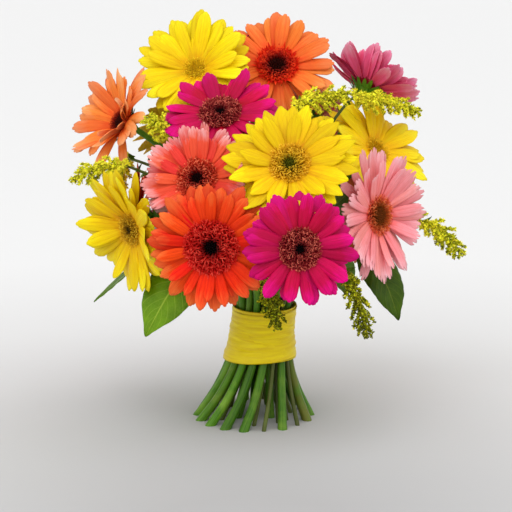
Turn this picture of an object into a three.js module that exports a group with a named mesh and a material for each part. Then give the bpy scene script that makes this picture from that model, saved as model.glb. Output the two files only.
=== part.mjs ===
// A hand-tied bouquet of gerbera daisies with goldenrod and broad green leaves. It stands on its own cut
// stems. Millimetres, +Z up. The origin is the middle of the cut end of the middle stem, on the plane it
// stands on. -Y is the front. Azimuths run from +X towards +Y, so the front is at 270 degrees.
import * as THREE from "three";

// Driving sizes --------------------
const BLOOM_DIAMETER = 104; // a middling flower head; the dome of heads grows with it
const PETALS = 14; // scallops round a head
const PETAL_NOTCH = 0.1; // how far a notch between two petals cuts in, as a share of the radius
const PETAL_THICKNESS = 2.4; // at its thickest
const PETAL_BELLY = 0.66; // where it is thickest, as a share of the head's radius
const EYE_SHARE = 0.3; // radius of the eye, as a share of the head's radius
const EYE_RISE = 5; // height of the eye above the petals' roots

const TIE_HEIGHT = 98; // the waist, where the stems are bound
const TIE_OFFSET = 9; // how far the waist leans to the right of the feet
const DOME_RISE = 130; // from the waist to the middle of the dome of heads
const FOOT_SPREAD = 2.3; // how much wider the stems stand at their feet than at the waist
const FOOT_TWIST = 30; // degrees that the stems turn round the bundle, from the waist to the feet
const FLARE_POWER = 2.2; // the stems leave the waist nearly straight and bow out lower down

const STEM_FOOT = 8; // diameters of a flower's stem
const STEM_WAIST = 6.2;
const STEM_NECK = 5.4;
const CALYX_DIAMETER = 21; // the green cup behind a head
const CALYX_DEPTH = 13;
const SHOULDER_DEPTH = 0.55; // the cup's shoulder, as shares of the cup's depth and diameter
const SHOULDER_WIDTH = 0.85;
const TWIG_FOOT = 4; // diameters of a leaf's or a goldenrod's stem
const TWIG_WAIST = 3.2;
const TWIG_END = 2.2;
const STEM_PLAY = 1.4; // between two flower stems at the waist
const RING_PLAY = 0.5; // more than that for the outer ring of stems
const TWIG_RING = 1.96; // where the twigs run between two rings of stems, in stem pitches from the middle
const SLANT = 1.06; // how much wider a leaning stem is when it is cut level
const SEAT_PLAY = 0.4; // between a head and the cup it sits in

const TWINE_THICKNESS = 1.2;
const TWINE_TURNS = 3;
const TWINE_GROOVE = 0.6; // how far out the groove between two turns lies, as a share of the thickness
const TWINE_BELOW = 6; // from the waist down to the lowest turn
const WRAP_PLAY = 0.6; // stems to twine, and twine to ribbon
const WRAP_FLARE = 0.1; // what is wrapped above the waist opens by this share of the height there
const RIBBON_THICKNESS = 1;
const RIBBON_BELOW = 41; // how far the ribbon reaches below the waist and above it
const RIBBON_ABOVE = 9;

const LEAF_WIDTH = 46;
const LEAF_THICKNESS = 0.9;
const LEAF_FOLD = 0.14; // how far a leaf's edges stand above its midrib, as a share of its half width
const LEAF_FULLNESS = 0.8; // below 1 the leaf is blunter, and its widest place moves towards the root
const LEAF_POINT = 1.2; // width of a leaf's tip
const PLUME_DIAMETER = 15; // the thick of a goldenrod's flowering end
const PLUME_FULLNESS = 0.7; // below 1 the plume is blunter at its ends

// How far a stem runs straight on out of the waist, and into its head or its twig's root, as shares of the
// way between them.
const PULL_FROM_WAIST = 0.42;
const PULL_TO_HEAD = 0.22;
const PULL_TO_TWIG = 0.12;

// Fineness of the solids.
const ROUND_SIDES = 8;
const RING_SIDES = 26;
const BELOW_WAIST = [0, 0.2, 0.4, 0.6, 0.8]; // shares of the waist's height at which a stem's line is set
const ABOVE_WAIST = 6; // steps along a stem's line above the waist
const STEM_STEPS = 10;
const STALK_STEPS = 7;
const PLUME_STEPS = 7;
const BLADE_STEPS = 8;
const RIBBON_STEPS = 6;

// Sizes that follow --------------------
const DOME_REACH = 1.155 * BLOOM_DIAMETER; // heads sit side by side, so they set the dome's size
const DOME_CENTRE = new THREE.Vector3(0, 0, TIE_HEIGHT + DOME_RISE);
const HEAD_SEAT = PETAL_THICKNESS + 1.2; // from the roots of the petals back to the cup's face
const OUTER_STEMS = 18;
const STEM_PITCH = STEM_WAIST + STEM_PLAY;
const RING_RADIUS = {
  middle: 0,
  inner: STEM_PITCH,
  twigs: TWIG_RING * STEM_PITCH,
  outer: (0.5 * STEM_PITCH) / Math.sin(Math.PI / OUTER_STEMS) + RING_PLAY,
};

const MATERIALS = {
  yellow: { color: 0xf7d90c, roughness: 0.6 },
  orange: { color: 0xf5661e, roughness: 0.6 },
  scarlet: { color: 0xe8401a, roughness: 0.6 },
  magenta: { color: 0xd4086e, roughness: 0.6 },
  coral: { color: 0xf08070, roughness: 0.6 },
  pink: { color: 0xf394a0, roughness: 0.6 },
  stem: { color: 0x5c8c2c, roughness: 0.55 },
  goldenrod: { color: 0xb4b428, roughness: 0.8 },
  leaf: { color: 0x3f6b14, roughness: 0.4 },
  ribbon: { color: 0xd4b80c, roughness: 0.35 },
  twine: { color: 0xb99f6a, roughness: 0.9 },
};

// The heads: [petal colour, ring and azimuth of its stem at the waist, place on the dome, the way it faces,
// size, cup]. A place is azimuth, elevation and reach, in shares of DOME_REACH. A facing is azimuth and
// elevation. Size is a share of BLOOM_DIAMETER, and cup is how far the petals lift from flat, in degrees.
const HEADS = [
  ["yellow", ["inner", 180], [152, 56, 0.89], [258, 35], 1.06, 12],
  ["orange", ["middle", 0], [62, 64, 0.84], [270, 38], 1.04, 8],
  ["magenta", ["inner", 240], [226, 53, 0.58], [262, 52], 0.97, 1],
  ["orange", ["outer", 190], [171, 19, 1.07], [215, 27], 0.94, 22],
  ["coral", ["outer", 230], [240, 4, 0.8], [252, 29], 0.95, 5],
  ["yellow", ["outer", 270], [287, 12, 0.88], [263, 35], 1.1, 0],
  ["yellow", ["outer", 210], [205, -20, 1.05], [220, -7], 1.05, 14],
  ["scarlet", ["outer", 250], [254, -19, 1.13], [264, 4], 1.02, 0],
  ["magenta", ["outer", 290], [285, -16, 1.27], [276, 8], 0.92, -2],
  ["pink", ["outer", 330], [330, -13, 1.06], [321, 8], 1.1, 4],
  ["yellow", ["inner", 0], [7, 9, 0.94], [316, 41], 1.04, 3],
  ["magenta", ["outer", 30], [30, 29, 1.15], [44, 47], 0.96, 22],
  ["orange", ["outer", 10], [21, -22, 0.97], [28, -4], 0.98, 2],
  ["yellow", ["outer", 50], [55, -20, 1.05], [60, 0], 1.02, 2],
  ["magenta", ["outer", 90], [88, -15, 1.1], [96, 5], 0.98, 3],
  ["pink", ["outer", 130], [118, -21, 1.17], [137, 0], 1.0, 1],
  ["scarlet", ["outer", 170], [150, -24, 1.12], [180, 0], 0.98, 2],
  ["coral", ["outer", 70], [62, 15, 1.0], [62, 36], 0.96, 4],
  ["yellow", ["outer", 150], [127, 18, 0.97], [136, 42], 1.02, 4],
  ["magenta", ["inner", 120], [95, 42, 1.01], [101, 46], 0.94, 4],
];

// The goldenrod: [ring and azimuth at the waist, where its plume begins, its tip, height of its arch].
const GOLDENROD = [
  [["twigs", 200], [193, 4, 0.94], [190, -2, 1.39], 6],
  [["twigs", 240], [200, 22, 0.7], [205, 28, 0.98], 3],
  [["inner", 300], [303, 46, 0.72], [350, 39, 0.95], 3],
  [["twigs", 0], [-1, 37, 0.9], [16, 16, 1.39], 4],
  [["outer", 350], [352, -16, 1.25], [355, -22, 1.7], 8],
  [["outer", 310], [310, -31, 1.16], [316, -44, 1.58], 8],
  [["twigs", 260], [276, -55, 0.79], [292, -67, 1.22], 6],
  [["twigs", 100], [108, 4, 1.1], [108, -4, 1.42], 6],
  [["twigs", 160], [148, 0, 1.15], [144, -14, 1.45], 6],
];

// The leaves: [ring and azimuth at the waist, root of the blade, its tip, the way its upper face looks, height
// of its arch, share of LEAF_WIDTH].
const LEAVES = [
  [["twigs", 180], [171, -47, 0.81], [185, -39, 1.56], [185, 60], 5, 0.9],
  [["twigs", 220], [224, -45, 0.79], [222, -46, 1.52], [229, 28], 4, 1.1],
  [["twigs", 340], [345, -34, 1.0], [341, -43, 1.55], [325, 30], 5, 0.9],
  [["twigs", 300], [308, -22, 0.72], [313, -2, 0.98], [310, 10], 4, 0.75],
  [["twigs", 40], [39, -48, 0.92], [36, -50, 1.4], [35, 40], 6, 1.0],
  [["twigs", 80], [75, -42, 0.9], [64, -45, 1.4], [65, 33], 6, 0.95],
  [["outer", 110], [108, -36, 1.0], [108, -42, 1.5], [108, 40], 6, 1.05],
  [["twigs", 140], [128, -56, 0.76], [126, -57, 1.4], [149, 36], 6, 1.0],
];

// Places --------------------
const radians = THREE.MathUtils.degToRad;
const mix = THREE.MathUtils.lerp;

function direction(azimuth, elevation) {
  const level = Math.cos(radians(elevation));
  const x = level * Math.cos(radians(azimuth));
  const y = level * Math.sin(radians(azimuth));
  return new THREE.Vector3(x, y, Math.sin(radians(elevation)));
}

function onDome([azimuth, elevation, reach]) {
  return direction(azimuth, elevation).multiplyScalar(reach * DOME_REACH).add(DOME_CENTRE);
}

// The bundle's cross-section keeps its shape below the waist: it only turns and spreads, so stems never meet.
function bundleAxis(height) {
  return TIE_OFFSET * (height / TIE_HEIGHT);
}

function bundleSpread(height) {
  const below = Math.max(0, 1 - height / TIE_HEIGHT);
  return 1 + (FOOT_SPREAD - 1) * below ** FLARE_POWER;
}

function inBundle([ring, azimuth], height) {
  const turn = radians(azimuth - FOOT_TWIST * (1 - height / TIE_HEIGHT));
  const radius = RING_RADIUS[ring] * bundleSpread(height);
  return new THREE.Vector3(bundleAxis(height) + radius * Math.cos(turn), radius * Math.sin(turn), height);
}

// A stem's centre line from its cut end, through the waist, to end, where it heads along heading.
function stemPoints(slot, end, heading, pull) {
  const below = BELOW_WAIST.map((share) => inBundle(slot, share * TIE_HEIGHT));
  const waist = inBundle(slot, TIE_HEIGHT);
  const rise = waist.clone().sub(inBundle(slot, TIE_HEIGHT - 2)).normalize();
  const distance = waist.distanceTo(end);
  const leave = waist.clone().addScaledVector(rise, PULL_FROM_WAIST * distance);
  const arrive = end.clone().addScaledVector(heading, -pull * distance);
  const above = new THREE.CubicBezierCurve3(waist, leave, arrive, end).getPoints(ABOVE_WAIST);
  return [...below, ...above];
}

// The share of a curve's length at which it passes the waist, if it runs through a stem's points.
function shareAtWaist(points, curve) {
  return curveThrough(points.slice(0, BELOW_WAIST.length + 1)).getLength() / curve.getLength();
}

// Shapes --------------------
// A closed body through rings of points, set along a curve at the shares in stations. section(share) gives
// the ring there, as pairs across the curve, and roll(share) turns it. The first ring is cut off level, at
// the height of the curve's start, and the last one is square to facing, if that is given.
function loft(curve, stations, section, { roll = () => 0, facing = null } = {}) {
  const positions = [];
  let normal = new THREE.Vector3(1, 0, 0);
  let sides = 0;
  for (const share of stations) {
    const centre = curve.getPointAt(share);
    const tangent = share === 1 && facing ? facing : curve.getTangentAt(share);
    normal = normal.clone().addScaledVector(tangent, -normal.dot(tangent)).normalize();
    const across = normal.clone().applyAxisAngle(tangent, roll(share));
    const up = tangent.clone().cross(across);
    const ring = section(share);
    sides = ring.length;
    for (const [a, b] of ring) {
      const point = centre.clone().addScaledVector(across, a).addScaledVector(up, b);
      if (share === 0) point.addScaledVector(tangent, (centre.z - point.z) / tangent.z);
      positions.push(...point.toArray());
    }
  }
  const last = stations.length - 1;
  const faces = [];
  for (let row = 0; row < last; row += 1) {
    for (let side = 0; side < sides; side += 1) {
      const a = row * sides + side;
      const b = row * sides + ((side + 1) % sides);
      faces.push(a, b, b + sides, a, b + sides, a + sides);
    }
  }
  for (let side = 1; side < sides - 1; side += 1) {
    faces.push(0, side + 1, side);
    faces.push(last * sides, last * sides + side, last * sides + side + 1);
  }
  const geometry = new THREE.BufferGeometry();
  geometry.setAttribute("position", new THREE.Float32BufferAttribute(positions, 3));
  geometry.setIndex(faces);
  geometry.computeVertexNormals();
  return geometry;
}

function circle(radius) {
  return Array.from({ length: ROUND_SIDES }, (_, side) => {
    const angle = (side / ROUND_SIDES) * 2 * Math.PI;
    return [radius * Math.cos(angle), radius * Math.sin(angle)];
  });
}

function shares(from, to, steps) {
  return Array.from({ length: steps + 1 }, (_, step) => mix(from, to, step / steps));
}

// A radius that runs from the foot's, through the waist's, to the end's.
function taper(share, waistShare, foot, waist, end) {
  if (share < waistShare) return mix(foot, waist, share / waistShare) / 2;
  return mix(waist, end, (share - waistShare) / (1 - waistShare)) / 2;
}

function curveThrough(points) {
  return new THREE.CatmullRomCurve3(points, false, "centripetal");
}

function headGeometry(diameter, cup) {
  const radius = diameter / 2;
  const lift = (r) => Math.tan(radians(cup)) * Math.max(0, r - EYE_SHARE * radius);
  const belly = PETAL_BELLY * radius;
  const half = PETAL_THICKNESS / 2;
  const profile = [
    [0, -HEAD_SEAT],
    [CALYX_DIAMETER / 2, -HEAD_SEAT],
    [belly, lift(belly) - half],
    [radius, lift(radius)],
    [belly, lift(belly) + half],
    [EYE_SHARE * radius, half],
    [0, EYE_RISE],
  ].map(([r, z]) => new THREE.Vector2(r, z));
  const geometry = new THREE.LatheGeometry(profile, 2 * PETALS).rotateX(Math.PI / 2);
  const position = geometry.getAttribute("position");
  for (let i = 0; i < position.count; i += 1) {
    const x = position.getX(i);
    const y = position.getY(i);
    const outward = Math.hypot(x, y) / radius;
    const between = 0.5 - 0.5 * Math.cos(PETALS * Math.atan2(y, x));
    const keep = 1 - PETAL_NOTCH * between * outward ** 4; // the notches open towards the rim
    position.setXY(i, x * keep, y * keep);
  }
  return geometry;
}

function headStemGeometry(slot, end, facing) {
  const points = stemPoints(slot, end.clone().addScaledVector(facing, -CALYX_DEPTH), facing, PULL_TO_HEAD);
  const curve = curveThrough([...points, end]);
  const waistShare = shareAtWaist(points, curve);
  const calyxShare = CALYX_DEPTH / curve.getLength();
  const shoulder = 1 - SHOULDER_DEPTH * calyxShare;
  const stations = [...shares(0, 1 - calyxShare, STEM_STEPS), shoulder, 1];
  const cup = { [shoulder]: (SHOULDER_WIDTH * CALYX_DIAMETER) / 2, 1: CALYX_DIAMETER / 2 };
  const section = (share) => circle(cup[share] ?? taper(share, waistShare, STEM_FOOT, STEM_WAIST, STEM_NECK));
  return loft(curve, stations, section, { facing });
}

// A twig's centre line: up through the waist to root, then arched over to tip.
function twigCurve(slot, root, tip, upward, arch) {
  const crest = root.clone().lerp(tip, 0.5).addScaledVector(upward, arch);
  const heading = crest.clone().sub(root).normalize();
  const stalk = stemPoints(slot, root, heading, PULL_TO_TWIG);
  const curve = curveThrough([...stalk, crest, tip]);
  const rootShare = curveThrough(stalk).getLength() / curve.getLength();
  return { curve, rootShare, waistShare: shareAtWaist(stalk, curve) };
}

function goldenrodGeometry(slot, root, tip, arch) {
  const { curve, rootShare, waistShare } = twigCurve(slot, root, tip, new THREE.Vector3(0, 0, 1), arch);
  const stations = [...shares(0, rootShare, STALK_STEPS), ...shares(rootShare, 1, PLUME_STEPS).slice(1)];
  return loft(curve, stations, (share) => {
    const stalk = taper(share, waistShare, TWIG_FOOT, TWIG_WAIST, TWIG_END);
    const along = Math.max(0, (share - rootShare) / (1 - rootShare));
    const swell = Math.max(0, Math.sin(Math.PI * along)) ** PLUME_FULLNESS;
    return circle(Math.max(stalk, (swell * PLUME_DIAMETER) / 2));
  });
}

// A ring round a leaf's blade, which is folded up along its midrib.
function bladeSection(halfWidth) {
  const rise = LEAF_FOLD * halfWidth;
  const half = LEAF_THICKNESS / 2;
  return [
    [halfWidth, rise],
    [halfWidth / 2, rise / 2 + half],
    [0, half],
    [-halfWidth / 2, rise / 2 + half],
    [-halfWidth, rise],
    [-halfWidth / 2, rise / 2 - half],
    [0, -half],
    [halfWidth / 2, rise / 2 - half],
  ];
}

function leafGeometry(slot, root, tip, facing, arch, size) {
  const { curve, rootShare, waistShare } = twigCurve(slot, root, tip, facing, arch);
  const stations = [...shares(0, rootShare, STALK_STEPS), ...shares(rootShare, 1, BLADE_STEPS).slice(1)];
  const widest = (size * LEAF_WIDTH) / 2;
  return loft(
    curve,
    stations,
    (share) => {
      const stalk = taper(share, waistShare, TWIG_FOOT, TWIG_WAIST, TWIG_END);
      const along = (share - rootShare) / (1 - rootShare);
      if (along <= 0) return circle(stalk);
      const outline = Math.max(0, Math.sin(Math.PI * along ** LEAF_FULLNESS)) ** LEAF_FULLNESS;
      return bladeSection(Math.max(LEAF_POINT / 2, widest * outline));
    },
    { roll: bladeRoll(curve, rootShare, facing) },
  );
}

// Turns a leaf's rings about its centre line, over the upper half of its stalk, so that its blade looks along
// facing. The rings' own turning is followed to the middle of the blade in small steps.
function bladeRoll(curve, rootShare, facing) {
  let normal = new THREE.Vector3(1, 0, 0);
  let tangent = new THREE.Vector3();
  for (const share of shares(0, mix(rootShare, 1, 0.5), 8 * BLADE_STEPS)) {
    tangent = curve.getTangentAt(share);
    normal = normal.clone().addScaledVector(tangent, -normal.dot(tangent)).normalize();
  }
  const wanted = facing.clone().addScaledVector(tangent, -facing.dot(tangent)).normalize();
  const up = tangent.clone().cross(normal);
  const turn = Math.atan2(-wanted.dot(normal), wanted.dot(up));
  return (share) => turn * THREE.MathUtils.smoothstep(share, 0.5 * rootShare, rootShare);
}

// A closed ring round the bundle, from a profile of [distance outside the stems, height].
function aroundBundle(profile) {
  const outline = [...profile, profile[0]].map(([outside, height]) => {
    const stem = mix(STEM_FOOT, STEM_WAIST, Math.min(1, height / TIE_HEIGHT)) * SLANT;
    const flare = WRAP_FLARE * Math.max(0, height - TIE_HEIGHT);
    return new THREE.Vector2(RING_RADIUS.outer * bundleSpread(height) + stem / 2 + outside + flare, height);
  });
  const geometry = new THREE.LatheGeometry(outline, RING_SIDES).rotateX(Math.PI / 2);
  const position = geometry.getAttribute("position");
  for (let i = 0; i < position.count; i += 1) {
    position.setX(i, position.getX(i) + bundleAxis(position.getZ(i)));
  }
  return geometry;
}

// Pieces --------------------
const bouquet = new THREE.Group();

function add(name, geometry, material) {
  const mesh = new THREE.Mesh(geometry, new THREE.MeshStandardMaterial(MATERIALS[material]));
  mesh.name = name;
  bouquet.add(mesh);
  return mesh;
}

function numbered(index) {
  return String(index + 1).padStart(2, "0");
}

HEADS.forEach(([colour, slot, place, face, size, cup], index) => {
  const facing = direction(...face);
  const centre = onDome(place);
  const head = add(`gerbera_${numbered(index)}_bloom`, headGeometry(size * BLOOM_DIAMETER, cup), colour);
  head.position.copy(centre);
  head.quaternion.setFromUnitVectors(new THREE.Vector3(0, 0, 1), facing);
  const seat = centre.clone().addScaledVector(facing, -HEAD_SEAT - SEAT_PLAY);
  add(`gerbera_${numbered(index)}_stem`, headStemGeometry(slot, seat, facing), "stem");
});

GOLDENROD.forEach(([slot, root, tip, arch], index) => {
  const geometry = goldenrodGeometry(slot, onDome(root), onDome(tip), arch);
  add(`goldenrod_${numbered(index)}`, geometry, "goldenrod");
});

LEAVES.forEach(([slot, root, tip, face, arch, size], index) => {
  const geometry = leafGeometry(slot, onDome(root), onDome(tip), direction(...face), arch, size);
  add(`leaf_${numbered(index)}`, geometry, "leaf");
});

// The twine: turns that lie against each other round the waist, with a groove between each two.
const twineFoot = TIE_HEIGHT - TWINE_BELOW;
const twineProfile = [];
for (let turn = 0; turn <= TWINE_TURNS; turn += 1) {
  const height = twineFoot + turn * TWINE_THICKNESS;
  twineProfile.push([WRAP_PLAY + TWINE_GROOVE * TWINE_THICKNESS, height]);
  if (turn < TWINE_TURNS) twineProfile.push([WRAP_PLAY + TWINE_THICKNESS, height + TWINE_THICKNESS / 2]);
}
twineProfile.push([WRAP_PLAY, twineFoot + TWINE_TURNS * TWINE_THICKNESS], [WRAP_PLAY, twineFoot]);
add("binding_twine", aroundBundle(twineProfile), "twine");

// The ribbon: a sleeve outside the twine that flares with the stems.
const ribbonInside = 2 * WRAP_PLAY + TWINE_THICKNESS;
const ribbonHeights = shares(TIE_HEIGHT - RIBBON_BELOW, TIE_HEIGHT + RIBBON_ABOVE, RIBBON_STEPS);
const ribbonProfile = [
  ...ribbonHeights.map((height) => [ribbonInside + RIBBON_THICKNESS, height]),
  ...ribbonHeights.map((height) => [ribbonInside, height]).reverse(),
];
add("ribbon_wrap", aroundBundle(ribbonProfile), "ribbon");

export default bouquet;
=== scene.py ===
"""The looks of a hand-tied bouquet of gerbera daisies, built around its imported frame.

Every visible CAD node is replaced by a finer piece that is worked out from that node: a head from its disc and
its stem's last ring, a stem, goldenrod or leaf from the rings of its loft, and the ribbon from its sleeve.
"""

import math
import random

import bpy
import numpy as np
from mathutils import Matrix, Vector, noise


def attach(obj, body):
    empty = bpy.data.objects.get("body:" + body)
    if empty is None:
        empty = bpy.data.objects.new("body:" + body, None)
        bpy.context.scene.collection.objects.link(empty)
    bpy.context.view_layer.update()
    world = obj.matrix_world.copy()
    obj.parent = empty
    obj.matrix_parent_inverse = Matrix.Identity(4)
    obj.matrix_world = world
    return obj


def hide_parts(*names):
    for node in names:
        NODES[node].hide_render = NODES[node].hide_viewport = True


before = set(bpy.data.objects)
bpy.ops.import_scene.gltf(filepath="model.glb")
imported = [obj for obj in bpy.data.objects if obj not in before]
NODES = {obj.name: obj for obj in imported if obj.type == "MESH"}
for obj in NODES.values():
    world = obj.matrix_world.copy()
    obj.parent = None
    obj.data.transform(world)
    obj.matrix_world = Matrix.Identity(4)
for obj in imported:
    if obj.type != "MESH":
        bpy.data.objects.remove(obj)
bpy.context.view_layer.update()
MM = 0.001
RIGHT, FORWARD, UP = Vector((1, 0, 0)), Vector((0, 1, 0)), Vector((0, 0, 1))


# Reading the frame ----------


def welded(node):
    """A node's corners without doubles, and for each one the corners that an edge joins it to."""
    index, points, links, where = {}, [], [], []
    mesh = NODES[node].data
    for vertex in mesh.vertices:
        key = tuple(round(c, 6) for c in vertex.co)
        if key not in index:
            index[key] = len(points)
            points.append(vertex.co.copy())
            links.append(set())
        where.append(index[key])
    for edge in mesh.edges:
        a, b = (where[i] for i in edge.vertices)
        if a != b:
            links[a].add(b)
            links[b].add(a)
    return points, links


def rings(node):
    """The rings of corners of a lofted node, from its level cut end to its far end."""
    points, links = welded(node)
    foot = min(p.z for p in points)
    ring = [i for i, p in enumerate(points) if p.z < foot + 0.01 * MM]
    seen, found = set(), []
    while ring:
        seen.update(ring)
        found.append([points[i] for i in ring])
        ring = sorted({j for i in ring for j in links[i]} - seen)
    return found


def middle(points):
    return sum(points, Vector()) / len(points)


class Line:
    """A smooth line through points, each with its radius, read by its share of the whole length."""

    STEPS = 10

    def __init__(self, points, radii):
        self.places, self.radii = [], []
        padded = [2 * points[0] - points[1], *points, 2 * points[-1] - points[-2]]
        for i in range(len(points) - 1):
            a, b, c, d = padded[i : i + 4]
            for step in range(self.STEPS):
                t = step / self.STEPS
                bend = (c - a) * t + (2 * a - 5 * b + 4 * c - d) * t**2 + (3 * b - a - 3 * c + d) * t**3
                self.places.append(b + 0.5 * bend)
                self.radii.append(radii[i] + t * (radii[i + 1] - radii[i]))
        self.places.append(points[-1])
        self.radii.append(radii[-1])
        gaps = [(q - p).length for p, q in zip(self.places, self.places[1:])]
        self.reached = np.concatenate([[0], np.cumsum(gaps)])
        self.length = float(self.reached[-1])
        self.headings = [(q - p).normalized() for p, q in zip(self.places, self.places[1:])]
        self.headings.append(self.headings[-1])
        self.acrosses = []
        across = RIGHT
        for heading in self.headings:
            across = (across - across.dot(heading) * heading).normalized()
            self.acrosses.append(across)

    def taper(self, first, last):
        """Gives the line new radii, in millimetres, from its first to its last."""
        self.radii = [mix(first, last, i / len(self.radii)) * MM for i in range(len(self.radii))]

    def at(self, share):
        """The place, across, up, heading and radius at a share of the length."""
        wanted = min(max(share, 0), 1) * self.length
        i = int(np.searchsorted(self.reached, wanted, side="right")) - 1
        i = min(i, len(self.places) - 2)
        t = float((wanted - self.reached[i]) / (self.reached[i + 1] - self.reached[i]))
        heading = self.headings[i].lerp(self.headings[i + 1], t).normalized()
        across = self.acrosses[i].lerp(self.acrosses[i + 1], t)
        across = (across - across.dot(heading) * heading).normalized()
        place = self.places[i].lerp(self.places[i + 1], t)
        return place, across, heading.cross(across), heading, mix(self.radii[i], self.radii[i + 1], t)


def mix(a, b, t):
    return a + t * (b - a)


def smooth(x, low, high):
    """0 below low, 1 above high, and an S between."""
    t = min(max((x - low) / (high - low), 0.0), 1.0)
    return t * t * (3 - 2 * t)


def loft_line(node):
    """The centre line of a lofted node, with the mean reach of each ring as its radius, and those rings."""
    found = rings(node)
    centres = [middle(ring) for ring in found]
    radii = [sum((p - c).length for p in ring) / len(ring) for ring, c in zip(found, centres)]
    return Line(centres, radii), found, radii


def ring_shares(found):
    """How far along its loft each ring lies, as a share of the whole."""
    centres = [middle(ring) for ring in found]
    gaps = [(b - a).length for a, b in zip(centres, centres[1:])]
    return [sum(gaps[:i]) / sum(gaps) for i in range(len(found))]


class Head:
    """Where a flower head is: root is the middle of its petals' roots, and axis the way it looks."""

    SEAT_SHARE = 0.42  # of the disc's depth on its axis, the part that lies behind the petals' roots

    def __init__(self, number):
        self.name = f"gerbera_{number:02d}"
        self.stem, found, _ = loft_line(self.name + "_stem")
        neck = found[-1]
        seat = middle(neck)
        axis = (neck[1] - seat).cross(neck[0] - seat).normalized()
        self.axis = axis if axis.dot(seat - middle(found[-2])) > 0 else -axis
        corners = welded(self.name + "_bloom")[0]
        along = [(p - seat).dot(self.axis) for p in corners]
        away = [(p - seat - a * self.axis).length for p, a in zip(corners, along)]
        self.radius = max(away)
        back = min(a for a, d in zip(along, away) if d < 0.4 * self.radius)
        front = max(a for a, d in zip(along, away) if d < 0.2 * self.radius)
        root_height = mix(back, front, self.SEAT_SHARE)
        rim = [a for a, d in zip(along, away) if d > 0.85 * self.radius]
        self.cup = math.degrees(math.atan2(sum(rim) / len(rim) - root_height, 0.7 * self.radius))
        self.root = seat + root_height * self.axis
        side = (UP - UP.dot(self.axis) * self.axis).normalized()
        self.frame = Matrix((side, self.axis.cross(side), self.axis)).transposed().to_4x4()
        self.frame.translation = self.root


# Building meshes ----------


class Shape:
    """Gathers patches of one mesh. paint is three numbers a corner, which its materials read."""

    def __init__(self):
        self.points, self.faces, self.paint, self.slots, self.count = [], [], [], [], 0

    def add(self, points, faces, paint, slot=0):
        self.points.append(np.asarray(points, float).reshape(-1, 3))
        self.paint.append(np.asarray(paint, float).reshape(-1, 3))
        self.faces += [tuple(int(i) + self.count for i in face) for face in faces]
        self.slots += [slot] * len(faces)
        self.count += len(self.points[-1])

    def build(self, name, materials, stands_for):
        mesh = bpy.data.meshes.new(name)
        mesh.from_pydata(np.concatenate(self.points).tolist(), [], self.faces)
        mesh.attributes.new("paint", "FLOAT_VECTOR", "POINT").data.foreach_set(
            "vector", np.concatenate(self.paint).astype(np.float32).ravel()
        )
        mesh.polygons.foreach_set("material_index", self.slots)
        mesh.polygons.foreach_set("use_smooth", [True] * len(self.faces))
        for material in materials:
            mesh.materials.append(material)
        mesh.update()
        piece = bpy.data.objects.new(name, mesh)
        bpy.context.scene.collection.objects.link(piece)
        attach(piece, "root")
        if stands_for:
            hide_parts(*stands_for)
        return piece


def grid_faces(rows, columns, closed=False):
    """The quads of a grid of rows of corners. A closed grid joins each row's end to its start."""
    faces = []
    for row in range(rows - 1):
        for column in range(columns if closed else columns - 1):
            a, b = row * columns + column, row * columns + (column + 1) % columns
            faces.append((a, b, b + columns, a + columns))
    return faces


def tube(shape, stations, sides, paint, slot=0, caps=True, bulge=None):
    """A closed tube. stations is a list of (place, across, up, radius) from end to end."""
    angles = [2 * math.pi * k / sides for k in range(sides)]
    points, paints = [], []
    for row, (place, across, up, radius) in enumerate(stations):
        for k, angle in enumerate(angles):
            reach = radius * (1 + bulge(row, angle) if bulge else 1)
            points.append(place + reach * spoke(across, up, angle))
            paints.append(paint(row / (len(stations) - 1), k / sides))
    faces = grid_faces(len(stations), sides, closed=True)
    if caps:
        last = (len(stations) - 1) * sides
        faces += [tuple(reversed(range(sides))), tuple(range(last, last + sides))]
    shape.add(points, faces, paints, slot)


def spoke(across, up, angle):
    """The direction at an angle from across, towards up."""
    return across * math.cos(angle) + up * math.sin(angle)


def ridge(at, side, crest):
    """Three corners across a narrow strip: its two edges, and its raised middle."""
    return [at - side, at + crest, at + side]


def thicken(piece, thickness, under=0):
    """Gives a sheet its thickness. Its far side takes the material that is `under` slots further on."""
    modifier = piece.modifiers.new("thickness", "SOLIDIFY")
    modifier.thickness = thickness
    modifier.offset = -1
    modifier.material_offset = under
    modifier.material_offset_rim = 0


# Materials ----------


def rgb(red, green, blue):
    """A colour given in screen values from 0 to 255, as the linear light that a shader takes."""
    return tuple(((c / 255 + 0.055) / 1.055) ** 2.4 if c > 10 else c / 3295 for c in (red, green, blue)) + (1,)


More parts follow.
